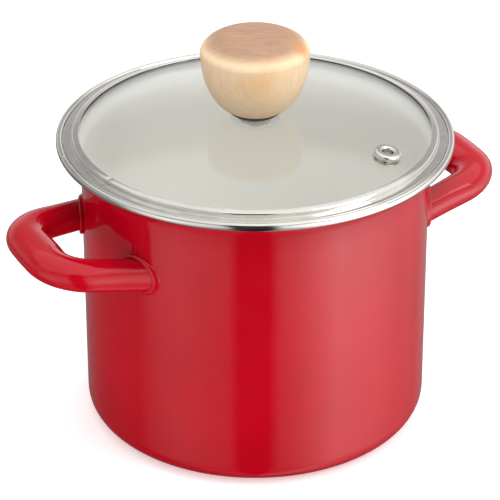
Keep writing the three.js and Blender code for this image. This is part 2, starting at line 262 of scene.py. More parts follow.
def cut(mesh, cutter):
    """The mesh with the cutter's volume taken out."""
    target = bpy.data.objects.new("cut_target", mesh)
    tool = bpy.data.objects.new("cut_tool", cutter)
    for made in (target, tool):
        bpy.context.scene.collection.objects.link(made)
    modifier = target.modifiers.new("cut", "BOOLEAN")
    modifier.operation = "DIFFERENCE"
    modifier.solver = "EXACT"
    modifier.object = tool
    bpy.context.view_layer.update()
    seen = target.evaluated_get(bpy.context.evaluated_depsgraph_get())
    result = bpy.data.meshes.new_from_object(seen)
    bpy.data.objects.remove(target)
    bpy.data.objects.remove(tool)
    return result


def add_piece(name, mesh, material, slot, body, *nodes):
    """Puts a mesh in the scene as a piece that stands for the CAD nodes and moves with the body."""
    mesh.name = name
    mesh.materials.clear()
    mesh.materials.append(material)
    piece = bpy.data.objects.new(name, mesh)
    bpy.context.scene.collection.objects.link(piece)
    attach(piece, body)
    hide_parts(*nodes)


# ---------------------------------------------------------------- material helpers

class Nodes:
    """A short way to write a node tree."""

    def __init__(self, tree):
        self.tree = tree

    def add(self, kind, settings=None, **inputs):
        made = self.tree.nodes.new(kind)
        for name, value in (settings or {}).items():
            setattr(made, name, value)
        for name, value in inputs.items():
            self.put(made.inputs[name.replace("_", " ")], value)
        return made

    def put(self, socket, value):
        if isinstance(value, bpy.types.NodeSocket):
            self.tree.links.new(value, socket)
        else:
            socket.default_value = value

    def math(self, operation, a, b=0.0):
        made = self.add("ShaderNodeMath", {"operation": operation})
        self.put(made.inputs[0], a)
        self.put(made.inputs[1], b)
        return made.outputs[0]

    def mix(self, factor, a, b, blend="MIX"):
        made = self.add("ShaderNodeMix", {"data_type": "RGBA", "blend_type": blend})
        self.put(made.inputs["Factor"], factor)
        self.put(made.inputs["A"], a)
        self.put(made.inputs["B"], b)
        return made.outputs["Result"]

    def mix_shader(self, factor, a, b):
        made = self.add("ShaderNodeMixShader")
        self.put(made.inputs[0], factor)
        self.put(made.inputs[1], a.outputs[0])
        self.put(made.inputs[2], b.outputs[0])
        return made.outputs[0]

    def ramp(self, factor, stops):
        """Stops are positions, each with a colour or a grey level."""
        made = self.add("ShaderNodeValToRGB")
        elements = made.color_ramp.elements
        while len(elements) < len(stops):
            elements.new(0.5)
        for element, (at, colour) in zip(elements, stops):
            element.position = at
            element.color = colour if isinstance(colour, tuple) else (colour, colour, colour, 1)
        self.put(made.inputs["Fac"], factor)
        return made.outputs["Color"]

    def span(self, value, low, high, to_low=0.0, to_high=1.0, smooth=True):
        """The value carried from the range low to high into another range."""
        kind = "SMOOTHSTEP" if smooth else "LINEAR"
        made = self.add("ShaderNodeMapRange", {"interpolation_type": kind})
        self.put(made.inputs["Value"], value)
        self.put(made.inputs["From Min"], low)
        self.put(made.inputs["From Max"], high)
        self.put(made.inputs["To Min"], to_low)
        self.put(made.inputs["To Max"], to_high)
        return made.outputs["Result"]

    def place(self, scale=(1, 1, 1), turn_deg=(0, 0, 0)):
        """The piece's own coordinates in millimetres, turned and then scaled."""
        coordinates = self.add("ShaderNodeTexCoord").outputs["Object"]
        made = self.add("ShaderNodeMapping", Vector=coordinates)
        made.inputs["Rotation"].default_value = [rad(angle) for angle in turn_deg]
        made.inputs["Scale"].default_value = [part / MM for part in scale]
        return made.outputs["Vector"]

    def stretched(self, vector, scale):
        made = self.add("ShaderNodeMapping", Vector=vector)
        made.inputs["Scale"].default_value = scale
        return made.outputs["Vector"]

    def spot(self, place, centre, reach):
        """1 within a millimetre of a point, fading to 0 at a reach from it."""
        made = self.add("ShaderNodeVectorMath", {"operation": "DISTANCE"})
        self.put(made.inputs[0], place)
        made.inputs[1].default_value = centre
        return self.span(made.outputs["Value"], reach, 1.0)

    def noise(self, vector, scale, detail=2.0, roughness=0.5):
        made = self.add("ShaderNodeTexNoise", Vector=vector, Scale=scale, Detail=detail)
        made.inputs["Roughness"].default_value = roughness
        return made.outputs["Fac"]

    def bump(self, height, strength, distance):
        """The normal over a relief whose full height is the distance, in millimetres."""
        made = self.add("ShaderNodeBump", Height=height, Strength=strength)
        made.inputs["Distance"].default_value = distance * MM
        return made.outputs["Normal"]


def new_material(name):
    """A new material, a writer for its nodes and its Principled shader."""
    material = bpy.data.materials.new(name)
    material.use_nodes = True
    nodes = Nodes(material.node_tree)
    shader = material.node_tree.nodes["Principled BSDF"]
    return material, nodes, shader


# ---------------------------------------------------------------- materials

def red_enamel():
    """Vitreous enamel: a saturated red under a glassy skin that pools and ripples slightly."""
    material, nodes, shader = new_material("red_enamel")
    place = nodes.place()
    cloud = nodes.noise(place, 0.02, 3)
    deep = (0.415, 0.0005, 0.0085, 1)
    bright = (0.465, 0.0009, 0.0115, 1)
    colour = nodes.ramp(cloud, [(0.35, deep), (0.65, bright)])
    fleck = nodes.span(nodes.noise(place, 1.3, 1), 0.74, 0.80)
    colour = nodes.mix(nodes.math("MULTIPLY", fleck, 0.35), colour, (0.30, 0.001, 0.008, 1))
    nodes.put(shader.inputs["Base Color"], colour)
    rough = nodes.span(nodes.noise(place, 0.09, 2), 0.3, 0.7, 0.05, 0.085)
    nodes.put(shader.inputs["Roughness"], rough)
    ripple = nodes.noise(place, 0.05, 1)
    peel = nodes.noise(place, 0.5, 2)
    height = nodes.math("ADD", ripple, nodes.math("MULTIPLY", peel, 0.05))
    nodes.put(shader.inputs["Normal"], nodes.bump(height, 0.35, 0.05))
    return material


def ivory_enamel():
    """The lining: a warm white enamel, slightly uneven and a little less glossy."""
    material, nodes, shader = new_material("ivory_enamel")
    place = nodes.place()
    cloud = nodes.noise(place, 0.015, 3)
    colour = nodes.ramp(cloud, [(0.35, (0.87, 0.865, 0.825, 1)), (0.65, (0.90, 0.895, 0.86, 1))])
    nodes.put(shader.inputs["Base Color"], colour)
    rough = nodes.span(nodes.noise(place, 0.08, 2), 0.3, 0.7, 0.16, 0.24)
    nodes.put(shader.inputs["Roughness"], rough)
    nodes.put(shader.inputs["Normal"], nodes.bump(nodes.noise(place, 0.06, 2), 0.3, 0.05))
    return material


def crimp_shade_mask(nodes, radius, height):
    """Where shade is painted on the steel: 1 on the lid band's faces that grip the glass and at the
    end of its lip, 0 elsewhere.
    """
    margin = 0.2
    under_lip = nodes.math("MULTIPLY", nodes.math("LESS_THAN", radius, GLASS_R + margin),
                           nodes.math("LESS_THAN", height, GLASS_EDGE_TOP_Z + margin))
    lip_end = nodes.math(
        "MULTIPLY", nodes.math("LESS_THAN", radius, BAND_LIP_R + 0.12),
        nodes.math("LESS_THAN", height, GLASS_EDGE_TOP_Z + LIP_RISE - margin))
    on_band = nodes.math(
        "MULTIPLY", nodes.math("GREATER_THAN", radius, BAND_LIP_R - 0.4),
        nodes.math("GREATER_THAN", height, GLASS_EDGE_TOP_Z - GLASS_T - margin))
    return nodes.math("MULTIPLY", nodes.math("MAXIMUM", under_lip, lip_end), on_band)


def polished_stainless():
    """Buffed stainless steel with faint polishing lines. The inside of the lid band's channel round
    the glass is painted near black as painted shade.
    """
    material, nodes, shader = new_material("polished_stainless")
    place = nodes.place()
    parts = nodes.add("ShaderNodeSeparateXYZ", Vector=place)
    across = nodes.math("MULTIPLY", parts.outputs["X"], parts.outputs["X"])
    along = nodes.math("MULTIPLY", parts.outputs["Y"], parts.outputs["Y"])
    radius = nodes.math("SQRT", nodes.math("ADD", across, along))
    turn = nodes.math("ARCTAN2", parts.outputs["Y"], parts.outputs["X"])
    unrolled = nodes.add("ShaderNodeCombineXYZ", X=radius, Y=turn, Z=parts.outputs["Z"])
    lines = nodes.noise(unrolled.outputs["Vector"], 5.0, 3)
    cloud = nodes.noise(place, 0.12, 3)
    colour = nodes.ramp(cloud, [(0.3, (0.74, 0.72, 0.68, 1)), (0.7, (0.82, 0.80, 0.76, 1))])
    crimp_shade = nodes.math("MULTIPLY", crimp_shade_mask(nodes, radius, parts.outputs["Z"]), 0.95)
    # painted shade: near black where shadow falls inside the lid band's channel round the glass
    colour = nodes.mix(crimp_shade, colour, (0.02, 0.02, 0.018, 1))
    nodes.put(shader.inputs["Base Color"], colour)
    shader.inputs["Metallic"].default_value = 1.0
    rough = nodes.span(nodes.math("MULTIPLY", lines, cloud), 0.15, 0.4, 0.05, 0.10)
    nodes.put(shader.inputs["Roughness"], rough)
    nodes.put(shader.inputs["Normal"], nodes.bump(lines, 0.12, 0.01))
    return material


def tempered_glass():
    """Clear glass, very slightly warm. Light that only passes through it casts no hard shadow."""
    material, nodes, shader = new_material("tempered_glass")
    cloud = nodes.noise(nodes.place(), 0.01, 1)
    colour = nodes.ramp(cloud, [(0.3, (0.985, 0.985, 0.98, 1)), (0.7, (0.99, 0.99, 0.985, 1))])
    nodes.put(shader.inputs["Base Color"], colour)
    shader.inputs["Roughness"].default_value = 0.0
    shader.inputs["IOR"].default_value = 1.5
    shader.inputs["Transmission Weight"].default_value = 1.0
    clear = nodes.add("ShaderNodeBsdfTransparent", Color=(0.98, 0.98, 0.965, 1))
    passing = nodes.add("ShaderNodeLightPath").outputs["Is Shadow Ray"]
    surface = nodes.mix_shader(passing, shader, clear)
    nodes.put(material.node_tree.nodes["Material Output"].inputs["Surface"], surface)
    return material


def late_wood(nodes, place, lengthways):
    """Growth rings about a pith behind the knob: high in the dark late wood of each ring."""
    pith_y = 58.0
    ring_mm = 2.7
    parts = nodes.add("ShaderNodeSeparateXYZ", Vector=place)
    sway = nodes.math("MULTIPLY", nodes.noise(lengthways, 0.05, 2), 10.0)
    back = nodes.math("SUBTRACT", parts.outputs["Y"], pith_y)
    squared = nodes.math("ADD", nodes.math("MULTIPLY", back, back),
                         nodes.math("MULTIPLY", parts.outputs["X"], parts.outputs["X"]))
    depth = nodes.math("ADD", nodes.math("SQRT", squared), sway)
    phase = nodes.math("FRACT", nodes.math("DIVIDE", depth, ring_mm))
    return nodes.ramp(phase, [(0.0, 0.1), (0.55, 0.25), (0.86, 1.0), (1.0, 0.1)])


def long_grain(nodes, place, late, lengthways, streaks, fine_place):
    """Colour of the upright sides: rings, warm patches, a flame, dark pores and pale streaks."""
    pale = (0.86, 0.64, 0.42, 1)
    warm = (0.80, 0.55, 0.32, 1)
    colour = nodes.mix(nodes.math("MULTIPLY", late, 0.40), pale, warm)
    patch = nodes.span(nodes.noise(lengthways, 0.045, 2), 0.50, 0.68)
    colour = nodes.mix(nodes.math("MULTIPLY", patch, 0.45), colour, (0.80, 0.47, 0.20, 1))
    flame = nodes.spot(place, (-2.0, -25.0, 177.5), 9.5)
    colour = nodes.mix(nodes.math("MULTIPLY", flame, 0.55), colour, (0.80, 0.43, 0.15, 1))
    pores = nodes.span(streaks, 0.50, 0.78, 0.0, 0.38)
    colour = nodes.mix(pores, colour, (0.62, 0.36, 0.18, 1))
    pale_streaks = nodes.span(nodes.noise(fine_place, 0.5, 2), 0.52, 0.75, 0.0, 0.35)
    return nodes.mix(pale_streaks, colour, (0.88, 0.68, 0.46, 1))


def end_grain_and_shade(nodes, place, late):
    """Colour of the crown, where the fibres end: darker, pinker and banded across, and darker still
    as painted shade against the strong light from above.
    """
    bands = nodes.noise(nodes.stretched(place, (0.16, 1, 1)), 0.7, 4, 0.6)
    dark = (0.335, 0.19, 0.12, 1)
    middle = (0.39, 0.235, 0.15, 1)
    light = (0.44, 0.27, 0.175, 1)
    colour = nodes.ramp(bands, [(0.3, dark), (0.5, middle), (0.7, light)])
    return nodes.mix(nodes.math("MULTIPLY", late, 0.25), colour, (0.36, 0.19, 0.12, 1))


def beech_wood():
    """Pale hardwood with upright grain, end grain with painted shade on the crown and a small stain
    at its edge.
    """
    material, nodes, shader = new_material("beech_wood")
    place = nodes.place(turn_deg=(0, 0, -CAMERA_AZIMUTH))
    lengthways = nodes.stretched(place, (1, 1, 0.12))
    fine_place = nodes.stretched(place, (1, 1, 0.07))
    late = late_wood(nodes, place, lengthways)
    streaks = nodes.noise(fine_place, 1.1, 4, 0.65)
    sides = long_grain(nodes, place, late, lengthways, streaks, fine_place)
    normal = nodes.add("ShaderNodeNewGeometry").outputs["Normal"]
    facing = nodes.add("ShaderNodeSeparateXYZ", Vector=normal)
    # end grain and painted shade: the upward-facing crown and shoulder take the darker crown colour
    crown_grain_and_shade = nodes.span(facing.outputs["Z"], 0.62, 0.97)
    colour = nodes.mix(crown_grain_and_shade, sides, end_grain_and_shade(nodes, place, late))
    stain = nodes.spot(place, (20.5, -7.0, 187.5), 8.0)
    colour = nodes.mix(nodes.math("MULTIPLY", stain, 0.8), colour, (0.55, 0.24, 0.09, 1))
    nodes.put(shader.inputs["Base Color"], colour)
    nodes.put(shader.inputs["Roughness"], nodes.span(streaks, 0.3, 0.8, 0.42, 0.58))
    shader.inputs["Specular IOR Level"].default_value = 0.35
    nodes.put(shader.inputs["Normal"], nodes.bump(streaks, 0.25, 0.06))
    return material


def turned_brass():
    """Machined brass with fine tool lines and a little tarnish."""
    material, nodes, shader = new_material("turned_brass")
    place = nodes.place()
    cloud = nodes.noise(place, 0.4, 3)
    colour = nodes.ramp(cloud, [(0.3, (0.62, 0.44, 0.18, 1)), (0.7, (0.78, 0.59, 0.28, 1))])
    nodes.put(shader.inputs["Base Color"], colour)
    shader.inputs["Metallic"].default_value = 1.0
    lines = nodes.noise(nodes.place((0.1, 0.1, 4)), 1.0, 2)
    nodes.put(shader.inputs["Roughness"], nodes.span(cloud, 0.3, 0.7, 0.25, 0.4))
    nodes.put(shader.inputs["Normal"], nodes.bump(lines, 0.3, 0.03))
    return material


def soft_material(name, dark, light, roughness, grain):
    """Moulded rubber or silicone with a fine mottled skin."""
    material, nodes, shader = new_material(name)
    place = nodes.place()
    mottle = nodes.noise(place, grain, 3)
    nodes.put(shader.inputs["Base Color"], nodes.ramp(mottle, [(0.3, dark), (0.7, light)]))
    low, high = roughness
    nodes.put(shader.inputs["Roughness"], nodes.span(mottle, 0.3, 0.7, low, high))
    shader.inputs["Specular IOR Level"].default_value = 0.4
    nodes.put(shader.inputs["Normal"], nodes.bump(mottle, 0.2, 0.04))
    return material


# ---------------------------------------------------------------- pot body

WALL_TOP_Z = LEDGE_Z - MOUTH_R
EDGE_R = RIM_OUTER_R - RIM_SHEET


def shell_curve(inset, end_r):
    """The shell's outer surface moved inwards by inset: base corner and flare."""
    flare_r = MOUTH_R + inset
    centre_r = BODY_R + MOUTH_R
    end_deg = math.degrees(math.acos(min(0.0, end_r - centre_r) / flare_r))
    corner = arc(BODY_R - CORNER_R, CORNER_R, CORNER_R - inset, -90, 0, 16)
    wall = [(BODY_R - inset, CORNER_R + (WALL_TOP_Z - CORNER_R) * k / 12) for k in range(1, 12)]
    flare = arc(centre_r, WALL_TOP_Z, flare_r, 180, end_deg, 16)
    return corner + wall, flare


def base_curve(z):
    """The base from its middle out to the flat ring: pressed up, with a soft step."""
    middle = [(0, z + BASE_RECESS), (BASE_RING_R / 2, z + BASE_RECESS)]
    step = [(4, 1), (2.6, 0.93), (1.6, 0.6), (0.8, 0.2), (0, 0)]  # inside the ring, share of recess
    return middle + [(BASE_RING_R - inside, z + BASE_RECESS * up) for inside, up in step]


def pot_shell():
    """The drawn steel shell, from the pressed base to the flared edge."""
    outer_corner, outer_flare = shell_curve(0.0, EDGE_R)
    inner_corner, inner_flare = shell_curve(BODY_T, EDGE_R)
    edge = arc(EDGE_R - BODY_T / 2, LEDGE_Z + BODY_T / 2, BODY_T / 2, -90, 90, 6)
    profile = base_curve(0.0) + outer_corner + outer_flare + edge
    profile += inner_flare[::-1] + inner_corner[::-1] + base_curve(BODY_T)[::-1]
    return turned("enamelled_shell", profile)


def lining_coat():
    """The enamel on the inside of the shell, up to the rim ring."""
    end_r = RIM_OUTER_R - RIM_W
    skin = BODY_T + CONTACT
    outer_corner, outer_flare = shell_curve(skin, end_r)
    inner_corner, inner_flare = shell_curve(skin + LINING_T, end_r)
    profile = base_curve(skin) + outer_corner + outer_flare
    profile += inner_flare[::-1] + inner_corner[::-1] + base_curve(skin + LINING_T)[::-1]
    return turned("ivory_lining", profile)


def rim_ring():
    """A sheet ring rolled over the flared edge: a tall round-topped bead, open to the inside."""
    inner_r = RIM_OUTER_R - RIM_W
    half = RIM_W / 2
    middle_r = RIM_OUTER_R - half
    slot_low = LEDGE_Z - 0.03
    slot_high = LEDGE_Z + BODY_T + LINING_T * 0.5
    inside = half - RIM_SHEET
    profile = [(inner_r, slot_low - RIM_SHEET)]
    profile += arc(middle_r, RIM_LOW_Z + half, half, -75, 0, 8)
    profile += arc(middle_r, RIM_TOP_Z - half, half, 0, 180, 18)
    profile += [(inner_r, slot_high), (inner_r + RIM_SHEET, slot_high)]
    profile += arc(middle_r, RIM_TOP_Z - half, inside, 180, 0, 12)
    profile += [(middle_r + inside, slot_low), (inner_r, slot_low)]
    return butted_ring("rim_ring", profile, RIM_SEAM_DEG)


# ---------------------------------------------------------------- handles

def handle_plan():
    """One handle's centreline in plan, foot to foot, as a function of its share of the length."""
    foot = rad(HANDLE_FOOT_DEG)
    splay = rad(HANDLE_SPLAY_DEG)
    start = Vector((BODY_R * math.cos(foot), -BODY_R * math.sin(foot)))
    corner_y = start.y + (HANDLE_REACH - start.x) * math.tan(splay)
    turn = math.pi / 2 - splay
    tangent = HANDLE_BEND_R * math.tan(turn / 2)
    corner = Vector((HANDLE_REACH, corner_y))
    arm_end = corner - tangent * Vector((math.cos(splay), math.sin(splay)))
    bend = Vector((HANDLE_REACH - HANDLE_BEND_R, corner_y + tangent))
    arm_length = (arm_end - start).length
    bend_length = HANDLE_BEND_R * turn
    half = arm_length + bend_length - bend.y
    along_arm = (arm_end - start).normalized()

    def at(share):
        """Point and direction at a share of the whole length."""
        mirrored = share > 0.5
        distance = 2 * half * min(share, 1 - share)
        if distance <= arm_length:
            point, way = start + along_arm * distance, along_arm.copy()
        elif distance <= arm_length + bend_length:
            angle = -turn + (distance - arm_length) / HANDLE_BEND_R
            point = bend + HANDLE_BEND_R * Vector((math.cos(angle), math.sin(angle)))
            way = Vector((-math.sin(angle), math.cos(angle)))
        else:
            point = Vector((HANDLE_REACH, bend.y + distance - arm_length - bend_length))
            way = Vector((0, 1))
        if mirrored:
            return Vector((point.x, -point.y)), Vector((-way.x, way.y))
        return point, way

    return at


PLAN_AT = handle_plan()
PLANE_TILT = math.atan(HANDLE_RISE)
HANDLE_UP = Vector((-math.sin(PLANE_TILT), 0, math.cos(PLANE_TILT)))
HANDLE_SIDES = 48
HANDLE_STEPS = 120


def smooth(t):
    """An ease from 0 to 1 that is level at both ends."""
    return t * t * (3 - 2 * t)


def handle_ring(share):
    """The oval section at a share of the length, and the arm's direction."""
    flat, way = PLAN_AT(share)
    foot_x = BODY_R * math.cos(rad(HANDLE_FOOT_DEG))
    centre = Vector((flat.x, flat.y, HANDLE_FOOT_Z + HANDLE_RISE * (flat.x - foot_x)))
    along = Vector((way.x, way.y, HANDLE_RISE * way.x)).normalized()
    side = along.cross(HANDLE_UP).normalized()
    grip = smooth(1 - abs(2 * share - 1))
    half_w = (FOOT_W + (GRIP_W - FOOT_W) * grip) / 2
    half_h = (FOOT_H + (GRIP_H - FOOT_H) * grip) / 2
    ring = []
    for i in range(HANDLE_SIDES):
        angle = 2 * math.pi * i / HANDLE_SIDES
        ring.append(centre + side * half_w * math.cos(angle) + HANDLE_UP * half_h * math.sin(angle))
    return ring, along


def ring_on_wall(share, radius):
    """The end section slid along the arm until each point is at a radius from the pot's axis."""
    ring, along = handle_ring(share)
    moved = []
    for point in ring:
        a = along.x ** 2 + along.y ** 2
        b = point.x * along.x + point.y * along.y
        c = point.x ** 2 + point.y ** 2 - radius ** 2
        outward = math.copysign(math.sqrt(b * b - a * c), along.x)
        moved.append(point + along * (outward - b) / a)
    return moved


def turn_rings(rings, turn_deg):
    """The rings turned about the pot's axis."""
    turning = Matrix.Rotation(rad(turn_deg), 3, "Z")
    return [[turning @ Vector(point) for point in ring] for ring in rings]


def loop_handle(name, turn_deg):
    """The formed tube from wall to wall, closed where it meets the wall."""
    rings = [ring_on_wall(0, BODY_R + WELD_GAP)]
    for j in range(HANDLE_STEPS + 1):
        share = FOOT_SHARE + (1 - 2 * FOOT_SHARE) * j / HANDLE_STEPS
        rings.append(handle_ring(share)[0])
    rings.append(ring_on_wall(1, BODY_R + WELD_GAP))
    return grid_mesh(name, turn_rings(rings, turn_deg), capped=True)


def spread_on_wall(share, margin, radius):
    """The arm's outline where it crosses a cylinder about the axis, spread on it by a margin."""
    crossing = ring_on_wall(share, radius)
    flat = [Vector((radius * math.atan2(point.y, point.x), point.z)) for point in crossing]
    pairs = list(zip(flat, flat[1:] + flat[:1]))
    turn = math.copysign(1, sum(a.x * b.y - b.x * a.y for a, b in pairs))
    spread = []
    for i, point in enumerate(flat):
        way = (flat[(i + 1) % len(flat)] - flat[i - 1]).normalized()
        angle = (point.x + turn * margin * way.y) / radius
        z = point.y - turn * margin * way.x
        spread.append(Vector((radius * math.cos(angle), radius * math.sin(angle), z)))
    return spread


def weld_foot(name, turn_deg, end):
    """The flared foot round one end of a handle: a rounded lip on the wall, creased at the arm."""
    # shares of the lip's width beyond the arm and of the foot's thickness off the wall
    section = [(1.0, 0.005), (1.0, 0.25), (0.95, 0.5), (0.84, 0.74), (0.66, 0.91), (0.42, 1.0),
               (0.2, 1.0), (0.08, 0.93), (0.0, 0.74), (-0.1, 0.7), (-0.1, 0.005)]
    rings = [spread_on_wall(end, lip * COLLAR_LIP, BODY_R + out * COLLAR_T) for lip, out in section]
    return grid_mesh(name, turn_rings(rings, turn_deg), rows_closed=True, sharp=60)


# ---------------------------------------------------------------- lid

DOME_R = (GLASS_R ** 2 + DOME_RISE ** 2) / (2 * DOME_RISE)
DOME_CENTRE_Z = GLASS_EDGE_TOP_Z + DOME_RISE - DOME_R


def glass_top_z(r):
    """Height of the dome's upper face."""
    return DOME_CENTRE_Z + math.sqrt(DOME_R ** 2 - r ** 2)


def on_vent(mesh):
    """Moves a piece made upright on the axis so that it stands square on the dome at the vent."""
    tilt = Matrix.Rotation(math.asin(VENT_RADIUS / DOME_R), 4, "Y")
    turn = Matrix.Rotation(rad(VENT_DEG), 4, "Z")
    stand = Matrix.Translation(Vector((VENT_RADIUS, 0, glass_top_z(VENT_RADIUS))) * MM)
    mesh.transform(turn @ stand @ tilt)
    return mesh


def glass_disc():
    """The domed glass with ground edges and its two holes."""
    bevel = 0.6
    ease = 0.3  # at the edge of the bore
    steps = 36
    low_z = GLASS_EDGE_TOP_Z - GLASS_T
    from_r = SCREW_HOLE_R + ease
    radii = [from_r + (GLASS_R - bevel - from_r) * k / steps for k in range(steps + 1)]
    bottom = [(r, glass_top_z(r) - GLASS_T) for r in radii]
    top = [(r, glass_top_z(r)) for r in radii]
    edge = [(GLASS_R - 0.15, low_z + 0.25), (GLASS_R, low_z + bevel),
            (GLASS_R, GLASS_EDGE_TOP_Z - bevel), (GLASS_R - 0.15, GLASS_EDGE_TOP_Z - 0.25)]
    bore_top = glass_top_z(SCREW_HOLE_R)
    bore = [(SCREW_HOLE_R, bore_top - ease), (SCREW_HOLE_R, bore_top - GLASS_T + ease)]
    disc = turned("glass_disc", bottom + edge + top[::-1] + bore)
    drill_outline = [(0, -9), (VENT_HOLE_R, -9), (VENT_HOLE_R, 6), (0, 6)]
    drill = turned("vent_drill", drill_outline, SMALL_TURNS)
    holed = cut(disc, on_vent(drill))
    smooth_dome(holed)
    return holed


def smooth_dome(mesh):
    """Gives the two domed faces the exact normals of their spheres, so a hole leaves no mark."""
    level = 0.9  # a domed face's normal is steeper than this
    edge = 0.7  # width of the ground edge, left as it is
    centre = Vector((0, 0, DOME_CENTRE_Z)) * MM
    lower_centre = Vector((0, 0, DOME_CENTRE_Z - GLASS_T)) * MM
    mesh.shade_smooth()
    mesh.set_sharp_from_angle(angle=rad(25))
    corner = [Vector(entry.vector) for entry in mesh.corner_normals]
    for polygon in mesh.polygons:
        if abs(polygon.normal.z) < level:
            continue
        for index in polygon.loop_indices:
            point = mesh.vertices[mesh.loops[index].vertex_index].co
            if math.hypot(point.x, point.y) > (GLASS_R - edge) * MM:
                continue
            outward = point - centre if polygon.normal.z > 0 else lower_centre - point
            corner[index] = outward.normalized()
    mesh.normals_split_custom_set([tuple(normal) for normal in corner])


def lid_ring():
    """The channel crimped round the glass, with the flange that rests on the pot's flared edge."""
    wall_r = GLASS_R + 0.05
    outer_r = wall_r + BAND_SHEET + 0.2
    web_z = GLASS_EDGE_TOP_Z - GLASS_T
    lip_low = web_z - BAND_SHEET
    flange_low = FLANGE_Z - 2 * BAND_SHEET
    cove = 0.4
    cove_r = outer_r + 0.1 + cove
    shoulder = 1.0
    shoulder_z = GLASS_EDGE_TOP_Z + 0.8 - shoulder
    lip_round = 0.2
    lip_round_z = GLASS_EDGE_TOP_Z + LIP_RISE - lip_round
    lip_glass_z = glass_top_z(BAND_LIP_R)
    # the first and the last corner only guide the rounds, and are dropped
    corners = [(BAND_LIP_R, lip_low), (outer_r, lip_low), (outer_r, flange_low),
               (FLANGE_R, flange_low), (FLANGE_R, FLANGE_Z), (outer_r + 0.1, FLANGE_Z)]
    profile = rounded(corners, 0.35, 4)[5:-5]
    profile += arc(cove_r, FLANGE_Z + cove, cove, 270, 180, 5)
    profile += arc(outer_r - shoulder, shoulder_z, shoulder, 0, 76, 10)
    profile += arc(BAND_LIP_R + lip_round, lip_round_z, lip_round, 76, 180, 6)
    profile += [(BAND_LIP_R, lip_glass_z + 0.12), (BAND_LIP_R + 0.1, lip_glass_z + 0.04),
                (wall_r - 0.3, GLASS_EDGE_TOP_Z + 0.08), (wall_r, GLASS_EDGE_TOP_Z - 0.1),
                (wall_r, web_z), (BAND_LIP_R, web_z)]
    return butted_ring("lid_ring", profile, LID_SEAM_DEG)


def vent_collar():
    """A rolled eyelet: a domed collar on the glass and a barrel spread below it."""
    barrel_r = VENT_HOLE_R - 0.1
    end_z = -GLASS_T - 1.7
    outer_round = 1.15
    inner_round = 1.2
    profile = [(VENT_BORE_R, end_z), (barrel_r, end_z), (barrel_r, CONTACT),
               (VENT_OUTER_R - 0.2, CONTACT), (VENT_OUTER_R, 0.2)]
    profile += arc(VENT_OUTER_R - outer_round, VENT_PROUD - outer_round, outer_round, 0, 90)
    profile += arc(VENT_BORE_R + inner_round, VENT_PROUD - inner_round, inner_round, 90, 180)
    return on_vent(turned("vent_collar", profile, SMALL_TURNS))


def vent_backing():
    """The washer that the eyelet is spread over, below the glass."""
    outer_r = VENT_HOLE_R + 2.2
    top_z = -GLASS_T - 0.05
    low_z = top_z - 0.7
    corners = [(VENT_HOLE_R, low_z), (outer_r, low_z), (outer_r, top_z), (VENT_HOLE_R, top_z)]
    return on_vent(turned("vent_backing", rounded(corners, 0.2), SMALL_TURNS))


# ---------------------------------------------------------------- knob and its fixing

def knob_outline():
    """The knob's outside from foot to crown: a flared cup, widest high up, with a soft shoulder."""
    base_z = gasket_high.z + CONTACT
    crown_z = knob_high.z
    knob_r = knob_high.x
    cup = [(KNOB_FOOT_R, base_z), (KNOB_FOOT_R + 1.2, base_z + 0.2)]
    cup += [(r, base_z + up) for r, up in KNOB_FLARE]
    outline = spline(cup + [(knob_r, crown_z - KNOB_CROWN_H)], 5)[:-1]
    steps = 20
    for i in range(steps + 1):
        angle = math.pi / 2 * i / steps
        out = abs(math.cos(angle)) ** KNOB_CROWN_POWER
        up = math.sin(angle) ** KNOB_CROWN_POWER
        r = KNOB_TOP_R + (knob_r - KNOB_TOP_R) * out
        outline.append((r, crown_z - KNOB_CROWN_H * (1 - up)))
    return outline


def spline(points, steps):
    """A smooth curve through the points."""
    ends = [points[0]] + points + [points[-1]]
    result = []
    for a, b, c, d in zip(ends, ends[1:], ends[2:], ends[3:]):
        a, b, c, d = Vector(a), Vector(b), Vector(c), Vector(d)
        for k in range(steps):
            t = k / steps
            point = (b * 2 + (c - a) * t + (a * 2 - b * 5 + c * 4 - d) * t ** 2
                     + (b * 3 - a - c * 3 + d) * t ** 3) / 2
            result.append(tuple(point))
    return result + [tuple(points[-1])]


def turned_knob():
    """The knob with the bore that holds the insert."""
    outline = knob_outline()
    foot_z = outline[0][1]
    crown_r, crown_z = outline[-1]
    bore_top = foot_z + KNOB_BORE_DEPTH
    profile = [(KNOB_BORE_R, foot_z + 0.4), (KNOB_BORE_R + 0.4, foot_z)] + outline
    profile += [(crown_r * part, crown_z) for part in (0.75, 0.5, 0.25, 0)]
    profile += [(0, bore_top), (KNOB_BORE_R, bore_top - 1)]
    return turned("turned_knob", profile)


def washer(name, node, chamfer=0.2):
    """A turned ring as large as its CAD node, with eased edges."""
    low, high = box_mm(node)
    corners = [(SCREW_CLEAR_R, low.z), (high.x, low.z), (high.x, high.z), (SCREW_CLEAR_R, high.z)]
    return turned(name, rounded(corners, chamfer), SMALL_TURNS)


def thread_cut(z, turn_share, pitch):
    """Share of a thread's depth that is cut away at a height, on the way round a helix."""
    return abs(((z / pitch - turn_share) % 1.0) * 2 - 1)


def threaded_insert():
    """A brass sleeve with a coarse thread outside and chamfered ends."""
    low, high = box_mm("knob_insert")
    end_r = high.x - INSERT_THREAD - 0.2
    steps = int((high.z - low.z) / INSERT_PITCH * 8)
    rings = []
    for j in range(THREAD_TURNS):
        ring = [(SCREW_CLEAR_R, low.z), (end_r, low.z)]
        for i in range(1, steps):
            z = low.z + (high.z - low.z) * i / steps
            cut_away = INSERT_THREAD * thread_cut(z, j / THREAD_TURNS, INSERT_PITCH)
            ring.append((high.x - cut_away, z))
        ring += [(end_r, high.z), (SCREW_CLEAR_R, high.z)]
        rings.append(ring_at(ring, 360 * j / THREAD_TURNS))
    return grid_mesh("threaded_insert", rings, rows_closed=True, sharp=THREAD_SHARP_DEG)


